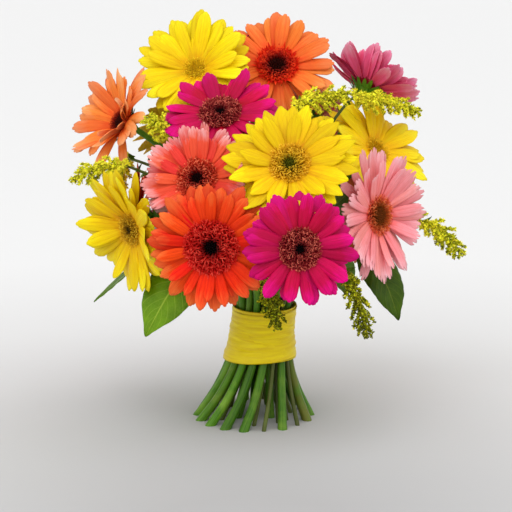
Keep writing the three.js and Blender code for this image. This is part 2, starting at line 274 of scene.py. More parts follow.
class Nodes:
    """A short way to write a material's nodes."""

    def __init__(self, name, roughness, **shader):
        self.material = bpy.data.materials.new(name)
        self.material.use_nodes = True
        self.tree = self.material.node_tree
        self.shader = self.tree.nodes["Principled BSDF"]
        self.shader.inputs["Roughness"].default_value = roughness
        for socket, value in shader.items():
            self.shader.inputs[socket.replace("_", " ")].default_value = value

    def new(self, kind, inputs=(), **settings):
        node = self.tree.nodes.new("ShaderNode" + kind)
        for key, value in settings.items():
            setattr(node, key, value)
        for socket, value in dict(inputs).items():
            self.put(node.inputs[socket], value)
        return node

    def put(self, socket, value):
        if isinstance(value, bpy.types.NodeSocket):
            self.tree.links.new(value, socket)
        else:
            socket.default_value = value

    def paint(self):
        """The three numbers of the mesh's paint."""
        node = self.new("Attribute", attribute_name="paint")
        parts = self.new("SeparateXYZ", {0: node.outputs["Vector"]})
        return parts.outputs[0], parts.outputs[1], parts.outputs[2]

    def math(self, operation, a, b=0.0, c=0.0):
        return self.new("Math", {0: a, 1: b, 2: c}, operation=operation).outputs[0]

    def times(self, a, b):
        return self.math("MULTIPLY", a, b)

    def vector(self, x, y, z):
        return self.new("CombineXYZ", {0: x, 1: y, 2: z}).outputs[0]

    def noise(self, scale, vector=None, detail=3.0, rough=0.5):
        if vector is None:
            vector = self.new("TexCoord").outputs["Object"]
        node = self.new("TexNoise", {"Vector": vector, "Scale": scale, "Detail": detail, "Roughness": rough})
        return node.outputs["Fac"]

    def span(self, value, low, high, to_low=0.0, to_high=1.0):
        """Maps low..high to to_low..to_high, and keeps it within them."""
        node = self.new("MapRange", {0: value, 1: low, 2: high, 3: to_low, 4: to_high})
        return node.outputs[0]

    def ramp(self, factor, stops):
        node = self.new("ValToRGB", {"Fac": factor})
        bar = node.color_ramp.elements
        while len(bar) < len(stops):
            bar.new(0.5)
        for element, (position, colour) in zip(bar, stops):
            element.position = position
            element.color = colour
        return node.outputs["Color"]

    def blend(self, factor, a, b):
        return self.new("Mix", {0: factor, 6: a, 7: b}, data_type="RGBA").outputs[2]

    def vary(self, colour, hue=0.5, saturation=1.0, value=1.0):
        node = self.new("HueSaturation", {"Color": colour, "Hue": hue, "Saturation": saturation, "Value": value})
        return node.outputs["Color"]

    def done(self, colour, height=None, strength=0.3, distance=0.2 * MM, roughness=None):
        self.put(self.shader.inputs["Base Color"], colour)
        if height is not None:
            bump = self.new("Bump", {"Height": height, "Strength": strength, "Distance": distance})
            self.put(self.shader.inputs["Normal"], bump.outputs[0])
        if roughness is not None:
            self.put(self.shader.inputs["Roughness"], roughness)
        return self.material


def petal_material(name, base, body, tip, streak=0.16):
    """A petal's skin. Its paint is the share along the petal, the place across it from -1 to 1, and a number
    of its own, which sets its tone at random and also carries painted shade on the back row and painted light on
    the low petals."""
    n = Nodes(name, 0.5, Specular_IOR_Level=0.12)
    along, across, own = n.paint()
    shift = n.times(own, 37.0)
    # fine veins run the length of the petal, and blotches are broader
    lanes = n.vector(n.math("MULTIPLY_ADD", across, 7.0, shift), n.times(along, 0.7), shift)
    veins = n.noise(3.2, lanes, 4.0, 0.65)
    blotch = n.noise(1.0, n.vector(n.math("MULTIPLY_ADD", across, 1.2, shift), n.times(along, 3.0), shift))
    reach = n.math("ADD", along, n.span(blotch, 0.3, 0.7, -0.14, 0.14))
    colour = n.ramp(reach, [(0.0, base), (0.3, mix_colours(base, body, 0.7)), (0.6, body), (1.0, tip)])
    side = n.math("ABSOLUTE", across)
    # painted shade: the two lengthwise grooves are darkened as if shade lay in them; the fine veins that darken with
    # them are the petal's own streaks
    groove_shade = n.math("ABSOLUTE", n.math("SUBTRACT", side, PETAL_GROOVE))
    groove_shade = n.times(n.span(groove_shade, 0.0, 0.14, 1.0, 0.0), n.span(along, 0.55, 1.0, 1.0, 0.2))
    dark = n.math("MULTIPLY_ADD", groove_shade, 0.35, n.span(veins, 0.35, 0.62, 1.0, 0.0))
    colour = n.blend(n.times(dark, streak * 3.0), colour, mix_colours(base, (0, 0, 0, 1), 0.2))
    # painted shade: a low own number, which the back row gets, blends the petal towards a deeper tone and darkens it;
    # own also varies the tone at random
    colour = n.blend(n.span(own, 0.0, 0.8, 0.45, 0.0), colour, mix_colours(base, body, 0.35))
    value = n.span(own, 0.0, 1.0, 0.86, 1.1)
    hue = n.span(n.math("FRACT", n.times(own, 7.3)), 0.0, 1.0, 0.494, 0.506)
    colour = n.vary(colour, hue, 1.0, value)
    return n.done(colour, n.math("SUBTRACT", veins, dark), 0.35, 0.25 * MM, n.span(veins, 0.3, 0.7, 0.42, 0.6))


def mix_colours(a, b, t):
    """A colour that is t of the way from a to b."""
    return tuple(mix(x, y, t) for x, y in zip(a[:3], b[:3])) + (1,)


def floret_material(name, core_share, core, middle_ring, rim, curl):
    """The eye's florets. Paint is the share out from the middle, the share up the floret, which darkens their feet as
    painted shade between them, and its own number.
    """
    n = Nodes(name, 0.6, Specular_IOR_Level=0.1)
    outward, up, own = n.paint()
    ring = n.ramp(outward, [(0.0, core), (core_share, core), (core_share + 0.15, middle_ring), (0.88, rim)])
    tip = n.times(n.span(up, 0.6, 1.0), n.span(outward, core_share, core_share + 0.24))
    tip = n.times(tip, n.span(own, 0.35, 0.95, 0.12, 1.0))  # only some florets show their pale lips
    # painted shade: each floret is darker low down, where shade falls between the packed florets
    colour = n.blend(tip, n.vary(ring, value=n.span(up, 0.0, 0.6, 0.78, 1.0)), curl)
    return n.done(n.vary(colour, value=n.span(own, 0.0, 1.0, 0.75, 1.2)), n.noise(900.0), 0.3, 0.1 * MM)


def stem_material(name, skin, dark, pale):
    """A stem's skin. Paint is the share up it, the share round it, and its own number."""
    n = Nodes(name, 0.42, Specular_IOR_Level=0.25)
    up, around, own = n.paint()
    lanes = n.vector(n.times(around, 26.0), n.times(up, 9.0), n.times(own, 9.0))
    ribs = n.noise(1.0, lanes)
    patch = n.noise(55.0, detail=4.0)
    colour = n.blend(n.span(ribs, 0.35, 0.65), skin, dark)
    colour = n.blend(n.span(patch, 0.5, 0.75, 0.0, 0.5), colour, pale)
    brown = n.times(n.span(own, 0.82, 0.9), n.span(patch, 0.4, 0.6, 0.2, 0.75))
    colour = n.blend(brown, colour, rgb(104, 92, 34))
    colour = n.vary(colour, 0.5, 1.0, n.span(own, 0.0, 0.8, 0.55, 1.15))
    return n.done(colour, n.math("ADD", ribs, n.times(n.noise(420.0), 0.4)), 0.35, 0.3 * MM)


def cut_material():
    """A cut end: paint's first number is the share out from its middle."""
    n = Nodes("cut_end", 0.75)
    outward, _, own = n.paint()
    pith, flesh, rind, skin = rgb(168, 176, 112), rgb(196, 204, 140), rgb(112, 140, 60), rgb(70, 104, 34)
    colour = n.ramp(outward, [(0.0, pith), (0.62, flesh), (0.86, rind), (1.0, skin)])
    grain = n.noise(1600.0, detail=2.0)
    colour = n.blend(n.span(grain, 0.45, 0.7, 0.0, 0.5), colour, rgb(140, 130, 78))
    return n.done(n.vary(colour, value=n.span(own, 0.0, 1.0, 0.85, 1.1)), grain, 0.5, 0.2 * MM)


def leaf_material(name, blade, vein, dark, roughness):
    """A blade. Paint is the share along it, the place across it from -1 to 1, and its own number."""
    n = Nodes(name, roughness, Specular_IOR_Level=0.14)
    along, across, own = n.paint()
    side = n.math("ABSOLUTE", across)
    wander = n.times(n.noise(30.0), 0.9)
    climb = n.math("SUBTRACT", n.math("MULTIPLY_ADD", along, VEINS, wander), n.times(side, VEIN_SLANT))
    lateral = n.math("ABSOLUTE", n.math("SUBTRACT", n.math("FRACT", climb), 0.5))
    lateral = n.span(lateral, 0.0, 0.07, 1.0, 0.0)
    midrib = n.span(side, 0.0, 0.055, 1.0, 0.0)
    place = n.new("TexCoord").outputs["Object"]
    net = n.new("TexVoronoi", {"Scale": 420.0, "Vector": place}, feature="DISTANCE_TO_EDGE")
    mesh = n.span(net.outputs["Distance"], 0.0, 0.12, 1.0, 0.0)
    patch = n.noise(42.0, detail=4.0)
    colour = n.blend(n.span(patch, 0.35, 0.7), blade, dark)
    veins = n.math("MAXIMUM", midrib, n.times(lateral, 0.5))
    colour = n.blend(n.times(n.math("MAXIMUM", veins, n.times(mesh, 0.12)), 0.75), colour, vein)
    colour = n.vary(colour, 0.5, 1.0, n.span(own, 0.0, 1.0, 0.42, 1.15))
    height = n.math("SUBTRACT", n.times(patch, 0.5), n.math("MULTIPLY_ADD", mesh, 0.15, veins))
    return n.done(colour, height, 0.5, 0.5 * MM, n.span(patch, 0.3, 0.7, roughness - 0.06, roughness + 0.12))


def bud_material():
    """Goldenrod. Paint is how open a bud is, the share up it, which darkens its foot as painted shade, and its own
    number.
    """
    n = Nodes("goldenrod_buds", 0.65, Specular_IOR_Level=0.1)
    opened, up, own = n.paint()
    shut, swollen, parted, full = rgb(92, 96, 10), rgb(136, 138, 16), rgb(196, 200, 26), rgb(246, 234, 60)
    colour = n.ramp(opened, [(0.0, shut), (0.3, swollen), (0.55, parted), (1.0, full)])
    # painted shade: each bud is darker towards its foot, where shade falls among the packed heads; its own number
    # shifts the hue at random
    colour = n.vary(colour, n.span(own, 0.0, 1.0, 0.49, 0.515), 1.0, n.span(up, 0.0, 0.7, 0.6, 1.15))
    return n.done(n.vary(colour, value=n.span(own, 0.0, 1.0, 0.72, 1.25)), n.noise(1500.0), 0.4, 0.15 * MM)


def satin_material():
    """Satin ribbon. Paint is the share along it, the place across it, and the number of its turn."""
    n = Nodes("satin", 0.36, Specular_IOR_Level=0.25, Anisotropic=0.45)
    along, across, _ = n.paint()
    weave = n.noise(1.0, n.vector(n.times(along, 60.0), n.times(across, 260.0), 0.0), 2.0)
    broad = n.noise(1.0, n.vector(n.times(along, 12.0), n.times(across, 7.0), 3.0), 3.0)
    # painted sheen: the broad noise blends in a brighter yellow in soft patches that stand in for the satin's sheen
    colour = n.blend(n.span(broad, 0.3, 0.7), rgb(232, 198, 0), rgb(254, 232, 4))
    colour = n.blend(n.span(weave, 0.4, 0.7, 0.0, 0.25), colour, rgb(190, 156, 0))
    hem = n.span(n.math("ABSOLUTE", across), 0.95, 0.97)
    colour = n.blend(n.times(hem, 0.5), colour, rgb(178, 150, 4))
    return n.done(colour, n.math("ADD", weave, hem), 0.22, 0.15 * MM, n.span(weave, 0.3, 0.7, 0.3, 0.46))


def twine_material():
    """Pale jute."""
    n = Nodes("jute", 0.9)
    fibre = n.noise(700.0, detail=4.0)
    return n.done(n.blend(fibre, rgb(150, 124, 78), rgb(206, 184, 136)), fibre, 0.6, 0.3 * MM)


# painted shade and light on the floor: its greys fall off towards the front of the object as the light would, and are
# raised in the middle distance to lighten the cast shadow there
FLOOR_PAINTED_FALLOFF_GREYS = ((0.0, 184), (0.24, 204), (0.4, 217), (0.6, 225), (1.0, 233))


def floor_material():
    """A pale floor, darker round a place in front of the object and paler far off: painted shade for the light's
    falloff.
    """
    n = Nodes("floor", 0.9, Specular_IOR_Level=0.0)
    place = n.new("TexCoord").outputs["Object"]
    away = n.new("VectorMath", {0: place, 1: (0, -0.3, 0)}, operation="DISTANCE").outputs["Value"]
    tones = [(t, rgb(grey, grey, grey)) for t, grey in FLOOR_PAINTED_FALLOFF_GREYS]
    return n.done(n.ramp(n.span(away, 0.08, 1.0), tones))


# Flower heads ----------

PETAL_GRID = 15, 11
PETAL_ROWS = np.linspace(0, 1, PETAL_GRID[0])[:, None]
PETAL_COLUMNS = np.linspace(-1, 1, PETAL_GRID[1])[None, :]
PETAL_FACES = [face[::-1] for face in grid_faces(*PETAL_GRID)]  # so that they face the way the head looks
PETAL_GROOVE = 0.4  # a petal's two lengthwise grooves, from its midline, as a share of its half width
PETAL_START = 0.72  # where the petals begin under the eye, as a share of its radius


def petal(shape, head, azimuth, start, length, width, look, lift, curl, own, chance):
    """One strap-shaped petal. lift is its slope in degrees at the root, curl is how much that grows to the tip,
    and own is its tone, from 0 for deep to 1 for bright: partly at random, partly painted shade on the back row
    and painted light on the low petals."""
    side = np.abs(PETAL_COLUMNS)
    teeth = look["notch"] * chance.uniform(0.5, 1.4) * np.clip(1 - np.abs(side - PETAL_GROOVE) / 0.2, 0, 1)
    end = 1 - look["point"] * side**look["blunt"] - teeth
    t = PETAL_ROWS * end
    steps = np.linspace(0, 1, 41)
    early = chance.uniform(-5, 5)
    slope = np.radians(lift + early * steps + (curl - early) * steps**look["late"])
    run = np.concatenate([[0], np.cumsum(np.cos(slope[:-1]))]) * length / 40
    rise = np.concatenate([[0], np.cumsum(np.sin(slope[:-1]))]) * length / 40
    x, z, angle = (np.interp(t, steps, values) for values in (run, rise, slope))
    swell = look["root"] + (1 - look["root"]) * np.sin(0.5 * np.pi * np.clip(t / look["belly"], 0, 1))
    swell = swell * (1 - look["narrow"] * np.clip((t - look["belly"]) / (1 - look["belly"]), 0, 1) ** 2)
    y = 0.5 * width * PETAL_COLUMNS * swell
    dip = np.exp(-(((side - PETAL_GROOVE) / 0.13) ** 2)) * (1 - 0.6 * t)
    phase = chance.uniform(0, 6.28)
    ripple = look["ripple"] * np.sin(9 * t + phase) * PETAL_COLUMNS * side * t
    height = width * swell * (look["camber"] * (1 - side**2) - 0.035 * dip + ripple)
    turn = np.radians(chance.gauss(0, look["twist"])) * t
    across = y * np.cos(turn) - height * np.sin(turn)
    outward = y * np.sin(turn) + height * np.cos(turn)
    across = across + length * chance.gauss(0, look["sway"]) * t**2
    local = np.stack([start + x - outward * np.sin(angle), across, z + outward * np.cos(angle)], -1)
    local = local.reshape(-1, 3)
    c, s = math.cos(azimuth), math.sin(azimuth)
    spin = np.array(((c, s, 0), (-s, c, 0), (0, 0, 1)))
    reached = t * length / (head.radius - start)  # a short petal keeps the tones of a long one's root and body
    paint = np.stack([reached, np.broadcast_to(PETAL_COLUMNS, t.shape), np.full(t.shape, own)], -1)
    shape.add(place(head, local @ spin), PETAL_FACES, paint)


def place(head, local):
    """Moves points from a head's own frame, with its axis as z, to the row frame."""
    m = np.array(head.frame)
    return local @ m[:3, :3].T + m[:3, 3]


def petals(head, look, materials):
    """A head's rows of petals, the outermost row first. Where a look droops, the low petals hang."""
    chance = random.Random(head.name)
    shape = Shape()
    start = PETAL_START * look["eye"] * head.radius
    reach = head.radius - start
    for layer, (count, length_share, lift, width_share) in enumerate(look["layers"]):
        pitch = 2 * math.pi / count
        width = width_share * look["width"] * head.radius
        for k in range(count):
            azimuth = (k + 0.5 * layer + chance.uniform(-0.16, 0.16)) * pitch
            sag = look["droop"] * max(0.0, -math.cos(azimuth)) ** 2
            length = reach * length_share * chance.uniform(0.93, 1.03)
            slope = head.cup + lift + chance.gauss(0, look["unruly"]) - sag
            curl = look["curl"] + chance.gauss(0, 1.6 * look["unruly"]) - sag
            # painted shade: the outermost row, which lies behind the others, gets the deeper tones
            tone = chance.uniform(0, 0.4) if layer == 0 else chance.uniform(0.35, 0.9)
            # painted light: petals that point down are brightened, as if they caught more of the light
            tone = min(1.0, tone + look["glow"] * max(0.0, -math.cos(azimuth)))
            wide = width * chance.uniform(0.86, 1.08)
            petal(shape, head, azimuth, start, length, wide, look, slope, curl, tone, chance)
    piece = shape.build(head.name + "_petals", materials, [head.name + "_bloom"])
    thicken(piece, 0.35 * MM, under=1)


GOLDEN_ANGLE = math.radians(137.508)
# The bed that the florets stand on: height in mm, and share of the eye's radius.
EYE_BED = ((-2.2, 0.8), (-0.9, 0.98), (-0.1, 0.9), (0.35, 0.6), (0.5, 0.3), (0.55, 0.04))


def eye(head, look, material):
    """The eye: closed buds in the middle, open florets with curled lips round them, and small rays outside."""
    chance = random.Random(head.name + "eye")
    shape = Shape()
    radius = look["eye"] * head.radius
    florets = look["florets"]
    across, up = head.frame.col[0].xyz, head.frame.col[1].xyz
    bed = [(head.root + z * MM * head.axis, across, up, share * radius) for z, share in EYE_BED]
    tube(shape, bed, 28, lambda t, _: (smooth(1 - t, 0.0, 0.9), 0.35, 0.5))
    for k in range(florets):
        u = math.sqrt((k + 0.5) / florets)
        azimuth = k * GOLDEN_ANGLE
        opened = smooth(u, look["core"] - 0.06, look["core"] + 0.1)
        height = radius * mix(0.2 + 0.1 * (1 - u), mix(0.34, 0.26, u), opened) * chance.uniform(0.88, 1.1)
        ground = -0.1 * radius * u**4 + 0.3 * MM
        lean = mix(0.1, 0.75, u**1.5) * opened
        thick = radius * mix(0.045, 0.036, u)
        root = Vector((0.97 * u * radius * math.cos(azimuth), 0.97 * u * radius * math.sin(azimuth), ground))
        out = spoke(RIGHT, FORWARD, azimuth)
        floret(shape, head, root, out, height, thick, lean, u, opened, chance)
    for ring, (count, long_share) in enumerate(look["rays"]):
        for k in range(count):
            azimuth = (k + 0.5 * ring + chance.uniform(-0.3, 0.3)) * 2 * math.pi / count
            out = spoke(RIGHT, FORWARD, azimuth)
            root = out * radius * (0.98 + 0.05 * ring)
            lip(shape, head, root, out, long_share * radius * chance.uniform(0.7, 1.2), 0.085 * radius,
                chance.uniform(48, 74), chance.uniform(-60, 30), 1.0, chance.random(), 0.35)
    shape.build(head.name + "_eye", [material], [])


def floret(shape, head, root, out, height, thick, lean, u, opened, chance):
    """One disc floret: a slim bud, or where it is opened a tube with curled lips."""
    own = chance.random()
    across = out.cross(UP).normalized()
    stations = []
    for share, width in ((0, 0.8), (0.45, 1.0), (0.8, 0.95), (1.0, mix(0.35, 0.9, opened))):
        lean_by = lean * height * share**2
        stations.append((root + out * lean_by + UP * height * share * (1 - 0.3 * lean), across, out, thick * width))
    local = Shape()
    tube(local, stations, 5, lambda up, _: (u, 0.55 * up, own))
    shape.add(place(head, local.points[0]), local.faces, local.paint[0])
    if opened < 0.5:
        return
    top = stations[-1][0]
    for _ in range(2):
        turn = chance.uniform(-1.5, 1.5)
        way = spoke(out, across, turn).normalized()
        lip(shape, head, top, way, height * chance.uniform(0.5, 0.95), 0.75 * thick, chance.uniform(50, 85),
            chance.uniform(-190, -90), u, own, 0.6)


LIP_STEPS = 5
LIP_FACES = grid_faces(LIP_STEPS + 1, 3)


def lip(shape, head, root, way, length, width, slope, bend, u, own, paint_from):
    """A small curled strip that starts at slope degrees above way, and bends by bend degrees to its tip."""
    across = np.array(way.cross(UP).normalized())
    way = np.array(way)
    at, points, paint = np.array(root), [], []
    for step in range(LIP_STEPS + 1):
        t = step / LIP_STEPS
        angle = math.radians(slope + bend * t)
        half = width * (0.55 + 0.45 * math.sin(math.pi * min(1, t * 1.15))) * (1 - 0.45 * t)
        normal = np.array((0, 0, 1)) * math.cos(angle) - way * math.sin(angle)
        points += ridge(at, across * half, normal * 0.35 * half)
        paint += [(u, mix(paint_from, 1.0, t), own)] * 3
        at = at + (way * math.cos(angle) + np.array((0, 0, 1)) * math.sin(angle)) * length / LIP_STEPS
    shape.add(place(head, np.array(points)), LIP_FACES, paint)


def look(slot, layers, width, eye_share, **others):
    """What sets one kind of head apart. Each layer is (petals, share of full length, lift, share of width)."""
    values = dict(
        slot=slot, layers=layers, width=width, eye=eye_share, core=0.42, florets=230, rays=((46, 0.3), (40, 0.36)),
        point=0.16, blunt=2.6, notch=0.03, root=0.42, belly=0.62, narrow=0.14, camber=0.1, ripple=0.02,
        twist=7, sway=0.035, late=1.6, curl=-8, unruly=4, droop=0, glow=0.25,
    )
    values.update(others)
    return values


LOOKS = {
    "lemon": look("yellow", [(15, 1.0, 0, 1.0), (15, 0.97, 4, 0.98), (13, 0.86, 9, 0.86)], 0.28, 0.19, core=0.3,
                  point=0.2, notch=0.02, unruly=6, curl=-10, florets=130),
    "canary": look("yellow", [(15, 1.08, 0, 1.0), (15, 1.03, 5, 0.98), (13, 0.9, 10, 0.86)], 0.27, 0.25, core=0.16,
                   point=0.24, notch=0.02, unruly=7, curl=-8, droop=8),
    "sun": look("yellow", [(15, 1.04, -2, 1.0), (15, 1.0, 3, 1.0), (13, 0.78, 7, 0.84)], 0.3, 0.27, core=0.22,
                point=0.34, blunt=1.8, notch=0.015, curl=-6, unruly=6, rays=((46, 0.26), (40, 0.3))),
    "gold": look("yellow", [(15, 1.1, 0, 1.0), (15, 1.04, 6, 0.98), (13, 0.9, 12, 0.86)], 0.27, 0.2, core=0.3,
                 point=0.26, notch=0.03, unruly=7, curl=-18, droop=12, florets=130),
    "orange": look("orange", [(16, 1.02, -2, 1.0), (17, 0.95, 4, 0.92)], 0.24, 0.3, core=0.36, curl=-8, droop=24,
                   point=0.15, unruly=6, rays=((48, 0.42), (44, 0.5))),
    "peach": look("orange", [(15, 1.12, 2, 1.0), (15, 1.04, 10, 0.96), (10, 0.86, 18, 0.84)], 0.26, 0.27, curl=-24,
                  unruly=12, notch=0.05, twist=16, camber=0.14, sway=0.06),
    "scarlet": look("scarlet", [(16, 1.08, -5, 1.0), (16, 1.0, 1, 0.94), (14, 0.84, 5, 0.78)], 0.235, 0.37,
                    core=0.24, florets=340, rays=((60, 0.18), (56, 0.24)), curl=-14, unruly=7, point=0.22,
                    sway=0.05, glow=0.5),
    "magenta": look("magenta", [(15, 1.05, -4, 1.0), (16, 0.97, 2, 0.92)], 0.28, 0.31, core=0.16, florets=300,
                    curl=-6, point=0.17, blunt=2.5, camber=0.14, unruly=6, glow=0.35),
    "rosy": look("magenta", [(16, 1.02, 2, 1.0), (16, 0.98, 10, 0.94), (12, 0.8, 16, 0.86)], 0.25, 0.26, curl=10,
                 camber=0.18, unruly=9, sway=0.05),
    "coral": look("coral", [(17, 1.04, -2, 1.0), (17, 0.96, 4, 0.92), (15, 0.7, 10, 0.8)], 0.245, 0.32, core=0.24,
                  curl=14, late=2.6, notch=0.1, point=0.12, unruly=9, twist=12, camber=0.09, sway=0.05),
    "pink": look("pink", [(19, 1.06, -2, 1.0), (19, 1.0, 4, 0.92), (12, 0.86, 10, 0.8)], 0.23, 0.27, core=0.46,
                 notch=0.1, point=0.12, curl=4, late=2.6, unruly=7, rays=((52, 0.2), (48, 0.26))),
}

# Which look each head wears, by its number.
HEADS = [
    "lemon", "orange", "magenta", "peach", "coral", "sun", "canary", "scarlet", "magenta", "pink",
    "gold", "rosy", "orange", "canary", "magenta", "pink", "scarlet", "coral", "sun", "magenta",
]

# The colours of each look: a petal's root, body and tip, the same for its underside, and the eye's core,
# middle, rim and curled lips.
COLOURS = {
    "lemon": ((228, 160, 0), (254, 232, 4), (255, 248, 34), (228, 186, 10), (244, 216, 24), (252, 236, 70),
              (222, 176, 8), (228, 182, 8), (240, 202, 14), (250, 226, 54)),
    "canary": ((222, 148, 0), (253, 226, 0), (255, 247, 32), (232, 190, 10), (248, 220, 24), (253, 238, 66),
               (60, 46, 6), (186, 134, 8), (224, 166, 14), (246, 212, 60)),
    "sun": ((216, 144, 0), (247, 214, 0), (255, 242, 12), (226, 176, 8), (240, 204, 20), (250, 226, 50),
            (98, 100, 12), (200, 150, 10), (224, 162, 12), (244, 198, 56)),
    "gold": ((236, 168, 0), (254, 226, 10), (255, 244, 44), (228, 138, 4), (247, 178, 12), (253, 212, 34),
             (214, 164, 8), (222, 170, 8), (236, 186, 14), (249, 216, 50)),
    "orange": ((244, 60, 8), (255, 140, 56), (255, 170, 98), (232, 96, 38), (250, 144, 80), (255, 184, 130),
               (60, 12, 5), (160, 16, 4), (228, 24, 4), (246, 78, 30)),
    "peach": ((242, 84, 18), (255, 148, 64), (255, 188, 128), (243, 138, 74), (254, 188, 134), (255, 218, 186),
              (60, 14, 8), (150, 30, 10), (210, 44, 10), (240, 112, 50)),
    "scarlet": ((206, 6, 0), (250, 64, 8), (255, 122, 58), (204, 50, 14), (238, 96, 48), (250, 146, 92),
                (14, 2, 3), (172, 2, 2), (208, 8, 4), (236, 84, 66)),
    "magenta": ((152, 0, 20), (214, 0, 84), (250, 0, 150), (154, 4, 54), (204, 20, 92), (232, 66, 136),
                (12, 2, 4), (112, 2, 12), (132, 4, 20), (230, 118, 96)),
    "rosy": ((150, 2, 24), (220, 8, 72), (244, 44, 120), (244, 60, 100), (255, 112, 168), (255, 200, 226),
             (30, 6, 8), (110, 10, 24), (150, 16, 36), (214, 120, 100)),
    "coral": ((226, 42, 20), (249, 92, 66), (255, 204, 206), (226, 106, 88), (250, 160, 154), (255, 214, 218),
              (30, 4, 4), (160, 18, 6), (200, 44, 20), (244, 132, 92)),
    "pink": ((242, 98, 84), (255, 160, 166), (255, 202, 210), (232, 108, 98), (252, 174, 178), (255, 216, 222),
             (124, 60, 12), (196, 84, 26), (230, 80, 44), (250, 156, 104)),
}


# Stems ----------


def cut_end(shape, line, own, slot):
    """A flat cut end on the level of the line's start, drawn as rings so that its rim can be darker."""
    spot, _, _, _, radius = line.at(0)
    sides, shares = 18, (1.0, 0.8, 0.5, 0.12)
    points, paint = [], []
    for share in shares:
        for k in range(sides):
            angle = -2 * math.pi * k / sides
            points.append(spot + share * radius * spoke(RIGHT, FORWARD, angle) + 0.25 * MM * (1 - share) * UP)
            paint.append((share, 0, own))
    faces = grid_faces(len(shares), sides, closed=True)
    faces.append(tuple(range(3 * sides, 4 * sides)))
    shape.add(points, faces, paint, slot)


def stalk(shape, line, end, own, sides=16, ribs=9, rib_depth=0.03, steps=70, slot=0):
    """A stem's tube with shallow ribs, whose first ring is cut level, and its cut end."""
    spots = [line.at(end * step / steps) for step in range(steps + 1)]
    stations = [(spot, across, up, radius) for spot, across, up, _, radius in spots]
    phase = 6.28 * own

    def bulge(row, angle):
        return rib_depth * math.cos(ribs * angle + phase) + 0.02 * math.sin(0.35 * row + phase)

    first = shape.count
    tube(shape, stations, sides, lambda up, around: (up, around, own), slot, caps=False, bulge=bulge)
    level = stations[0][0].z
    heading = line.at(0)[3]
    patch = shape.points[-1]
    for k in range(sides):
        patch[k] += np.array(heading) * (level - patch[k][2]) / heading.z
    last = first + steps * sides
    shape.faces.append(tuple(range(last, last + sides)))
    shape.slots.append(slot)
    cut_end(shape, line, own, 1)


# The green cup's outline in mm, from the stem up: height from the petals' roots, and radius.
CUP = ((-15.0, 3.1), (-12.0, 4.6), (-9.0, 7.4), (-6.4, 9.6), (-4.0, 10.4), (-2.6, 9.8))
# Its rows of bracts: how many, the share of the way down the cup, length and width in mm.
BRACT_ROWS = ((15, 0.0, 15.5, 4.2), (14, 0.28, 11.5, 4.0), (12, 0.55, 8.0, 3.6))


def flower_stem(head, materials):
    """The stem, the green cup that the head sits in, and the rows of bracts that hold the petals' roots."""
    chance = random.Random(head.name + "stem")
    own = chance.random()
    shape = Shape()
    stalk(shape, head.stem, 0.97, own, ribs=chance.choice((7, 8, 9)), rib_depth=chance.uniform(0.015, 0.05))
    across, up = head.frame.col[0].xyz, head.frame.col[1].xyz
    stations = [(head.root + z * MM * head.axis, across, up, r * MM) for z, r in CUP]
    tube(shape, stations, 20, lambda t, around: (t, around, own))
    for count, back, length, width in BRACT_ROWS:
        for k in range(count):
            azimuth = (k + 0.5 * (back > 0.2) + chance.uniform(-0.15, 0.15)) * 2 * math.pi / count
            bract(shape, head, azimuth, back, length * chance.uniform(0.85, 1.1), width, own)
    shape.build(head.name + "_stalk", materials, [head.name + "_stem"])


def bract(shape, head, azimuth, back, length, width, own):
    """A pointed green scale that follows the cup and then the back of the petals."""
    out = np.array((math.cos(azimuth), math.sin(azimuth), 0))
    side = np.array((-math.sin(azimuth), math.cos(azimuth), 0))
    up = np.array((0, 0, 1))
    at = out * mix(9.8, 6.0, back) * MM + up * mix(-6.0, -12.5, back) * MM
    rows, points, paint = 7, [], []
    slope = math.radians(mix(32, 46, back) + 0.6 * head.cup)
    for row in range(rows):
        t = row / (rows - 1)
        half = 0.5 * width * MM * math.sin(math.pi * (0.22 + 0.78 * t)) ** 0.7 + 0.08 * MM
        lift = 0.5 * MM * math.sin(math.pi * t)
        points += ridge(at + out * lift, side * half, out * 0.5 * MM)
        paint += [(t, around, own) for around in (0.3, 0.5, 0.7)]
        angle = slope - math.radians(mix(30, 14, back)) * t
        at = at + (out * math.cos(angle) + up * math.sin(angle)) * length * MM / rows
    shape.add(place(head, np.array(points)), grid_faces(rows, 3), paint)


# Goldenrod ----------


BUD = ((0, 0.5), (0.35, 1.0), (0.75, 0.95), (1.0, 0.45))  # its outline: share of its length, share of its radius


def bud(shape, at, way, long, thick, opened, own):
    """One small head of goldenrod: a five-sided bud, with a star of rays where it has opened."""
    across = way.orthogonal().normalized()
    up = way.cross(across)
    stations = [(at + way * long * s, across, up, thick * w) for s, w in BUD]
    tube(shape, stations, 5, lambda t, _: (opened, t, own))
    if opened < 0.55:
        return
    top = at + way * long * 0.9
    for k in range(5):
        angle = 2 * math.pi * k / 5 + 6.28 * own
        out = spoke(across, up, angle)
        side = way.cross(out)
        tip = top + out * thick * 1.7 + way * thick * 0.8
        wide, narrow = side * thick * 0.3, side * thick * 0.2
        points = [top - wide, top + wide, tip + narrow, tip - narrow]
        shape.add(points, [(0, 1, 2, 3)], [(1.0, 0.8, own)] * 4)


